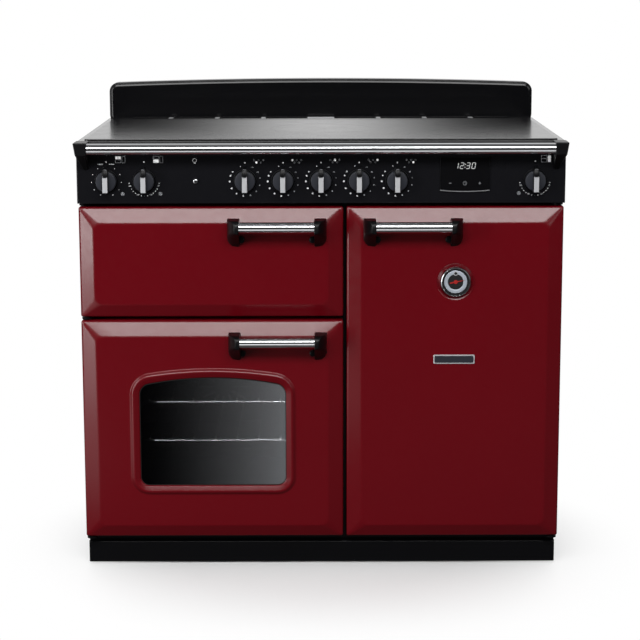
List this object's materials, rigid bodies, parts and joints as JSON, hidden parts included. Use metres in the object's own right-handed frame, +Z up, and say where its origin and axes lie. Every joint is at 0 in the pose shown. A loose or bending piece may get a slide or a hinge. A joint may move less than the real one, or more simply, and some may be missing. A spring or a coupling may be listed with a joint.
{
  "type": "induction range cooker",
  "caption": "Freestanding induction range cooker with side-hung oven and grill doors, rotary knobs, clock, dial thermometer and front towel rail",
  "frame": {"origin": "on the floor under the middle of the cooker's bounding box", "axes": "+X to the right seen from the front, +Y to the back, +Z up"},
  "size_m": [0.99, 0.66, 0.992],
  "materials": {
    "red_enamel": "gloss",
    "black_enamel": "gloss",
    "oven_enamel": "gloss",
    "zinc_sheet": "satin",
    "steel_trim": "brushed",
    "chrome": "polished",
    "ceramic_glass": "gloss",
    "oven_glass": "gloss",
    "black_plastic": "satin",
    "gloss_plastic": "gloss",
    "knob_plastic": "satin",
    "seal_rubber": "matte",
    "wire_steel": "polished",
    "element_steel": "satin",
    "coil_copper": "satin",
    "needle_paint": "satin",
    "fan_steel": "satin",
    "roller_nylon": "matte"
  },
  "bodies": {
    "carcass": {"base_tray": "zinc_sheet", "side_panels": "black_enamel", "back_panel": "zinc_sheet", "front_frame": "black_enamel", "plinth": "black_enamel", "levelling_feet": "zinc_sheet", "terminal_box": "black_plastic", "grill_cavity": "oven_enamel", "main_oven_cavity": "oven_enamel", "tall_oven_cavity": "oven_enamel", "oven_seals": "seal_rubber", "fan_baffles": "oven_enamel", "fan_motors": "zinc_sheet", "heating_elements": "element_steel", "oven_side_racks": "wire_steel", "oven_shelves": "wire_steel", "grill_pan": "oven_enamel", "oven_lamp": "oven_glass", "hinge_brackets": "zinc_sheet", "control_panel": "black_enamel", "control_switches": "black_plastic", "clock_module": "gloss_plastic", "towel_rail": "chrome", "towel_rail_ends": "black_plastic", "hob_tray": "steel_trim", "hob_glass": "ceramic_glass", "induction_coils": "coil_copper", "vent_trim": "black_enamel", "rear_upstand": "black_enamel"},
    "grill_door": {"grill_door_skin": "red_enamel", "grill_door_liner": "oven_enamel", "grill_handle_bar": "chrome", "grill_handle_ends": "black_plastic"},
    "oven_door": {"oven_door_skin": "red_enamel", "oven_door_glass": "oven_glass", "oven_door_liner": "oven_enamel", "oven_inner_glass": "oven_glass", "oven_handle_bar": "chrome", "oven_handle_ends": "black_plastic"},
    "tall_door": {"tall_door_skin": "red_enamel", "tall_door_liner": "oven_enamel", "tall_handle_bar": "chrome", "tall_handle_ends": "black_plastic", "gauge_housing": "chrome", "gauge_glass": "oven_glass"},
    "gauge_needle": {"gauge_needle": "needle_paint"},
    "knob_grill": {"knob_grill": "knob_plastic"},
    "knob_hob_1": {"knob_hob_1": "knob_plastic"},
    "knob_hob_2": {"knob_hob_2": "knob_plastic"},
    "knob_hob_3": {"knob_hob_3": "knob_plastic"},
    "knob_hob_4": {"knob_hob_4": "knob_plastic"},
    "knob_hob_5": {"knob_hob_5": "knob_plastic"},
    "knob_main_oven": {"knob_main_oven": "knob_plastic"},
    "knob_tall_oven": {"knob_tall_oven": "knob_plastic"},
    "light_button": {"light_button": "black_plastic"},
    "main_fan_wheel": {"main_fan_wheel": "fan_steel"},
    "roller_left": {"roller_left": "roller_nylon"},
    "roller_right": {"roller_right": "roller_nylon"},
    "tall_fan_wheel": {"tall_fan_wheel": "fan_steel"}
  },
  "joints": [
    {"name": "grill_door_swing", "type": "hinge", "parent": "carcass", "child": "grill_door", "pos_m": [-0.4825, -0.255, 0.653], "axis": [0, 0, -1], "range_deg": [0, 110]},
    {"name": "oven_door_swing", "type": "hinge", "parent": "carcass", "child": "oven_door", "pos_m": [-0.4825, -0.255, 0.3], "axis": [0, 0, -1], "range_deg": [0, 110]},
    {"name": "tall_door_swing", "type": "hinge", "parent": "carcass", "child": "tall_door", "pos_m": [0.4825, -0.255, 0.418], "axis": [0, 0, 1], "range_deg": [0, 110]},
    {"name": "knob_grill_turn", "type": "hinge", "parent": "carcass", "child": "knob_grill", "pos_m": [-0.4345, -0.278, 0.821], "axis": [0, 1, 0], "range_deg": [-150, 150]},
    {"name": "knob_main_oven_turn", "type": "hinge", "parent": "carcass", "child": "knob_main_oven", "pos_m": [-0.358, -0.278, 0.821], "axis": [0, 1, 0], "range_deg": [0, 280]},
    {"name": "knob_hob_1_turn", "type": "hinge", "parent": "carcass", "child": "knob_hob_1", "pos_m": [-0.154, -0.278, 0.821], "axis": [0, -1, 0], "range_deg": [0, 330]},
    {"name": "knob_hob_2_turn", "type": "hinge", "parent": "carcass", "child": "knob_hob_2", "pos_m": [-0.077, -0.278, 0.821], "axis": [0, -1, 0], "range_deg": [0, 330]},
    {"name": "knob_hob_3_turn", "type": "hinge", "parent": "carcass", "child": "knob_hob_3", "pos_m": [0, -0.278, 0.821], "axis": [0, -1, 0], "range_deg": [0, 330]},
    {"name": "knob_hob_4_turn", "type": "hinge", "parent": "carcass", "child": "knob_hob_4", "pos_m": [0.077, -0.278, 0.821], "axis": [0, -1, 0], "range_deg": [0, 330]},
    {"name": "knob_hob_5_turn", "type": "hinge", "parent": "carcass", "child": "knob_hob_5", "pos_m": [0.154, -0.278, 0.821], "axis": [0, -1, 0], "range_deg": [0, 330]},
    {"name": "knob_tall_oven_turn", "type": "hinge", "parent": "carcass", "child": "knob_tall_oven", "pos_m": [0.433, -0.278, 0.821], "axis": [0, 1, 0], "range_deg": [0, 280]},
    {"name": "light_button_press", "type": "slide", "parent": "carcass", "child": "light_button", "axis": [0, 1, 0], "range_m": [0, 0.003], "stiffness_N_per_m": 400},
    {"name": "gauge_needle_turn", "type": "hinge", "parent": "tall_door", "child": "gauge_needle", "pos_m": [0.2745, -0.2815, 0.613], "axis": [0, 1, 0], "range_deg": [0, 270], "stiffness_Nm_per_rad": 0.002},
    {"name": "main_fan_spin", "type": "hinge", "parent": "carcass", "child": "main_fan_wheel", "pos_m": [-0.22475, 0.15, 0.299], "axis": [0, 1, 0], "continuous": true},
    {"name": "tall_fan_spin", "type": "hinge", "parent": "carcass", "child": "tall_fan_wheel", "pos_m": [0.27325, 0.15, 0.417], "axis": [0, 1, 0], "continuous": true},
    {"name": "roller_left_spin", "type": "hinge", "parent": "carcass", "child": "roller_left", "pos_m": [-0.428, 0.27, 0.02], "axis": [1, 0, 0], "continuous": true},
    {"name": "roller_right_spin", "type": "hinge", "parent": "carcass", "child": "roller_right", "pos_m": [0.428, 0.27, 0.02], "axis": [1, 0, 0], "continuous": true}
  ]
}
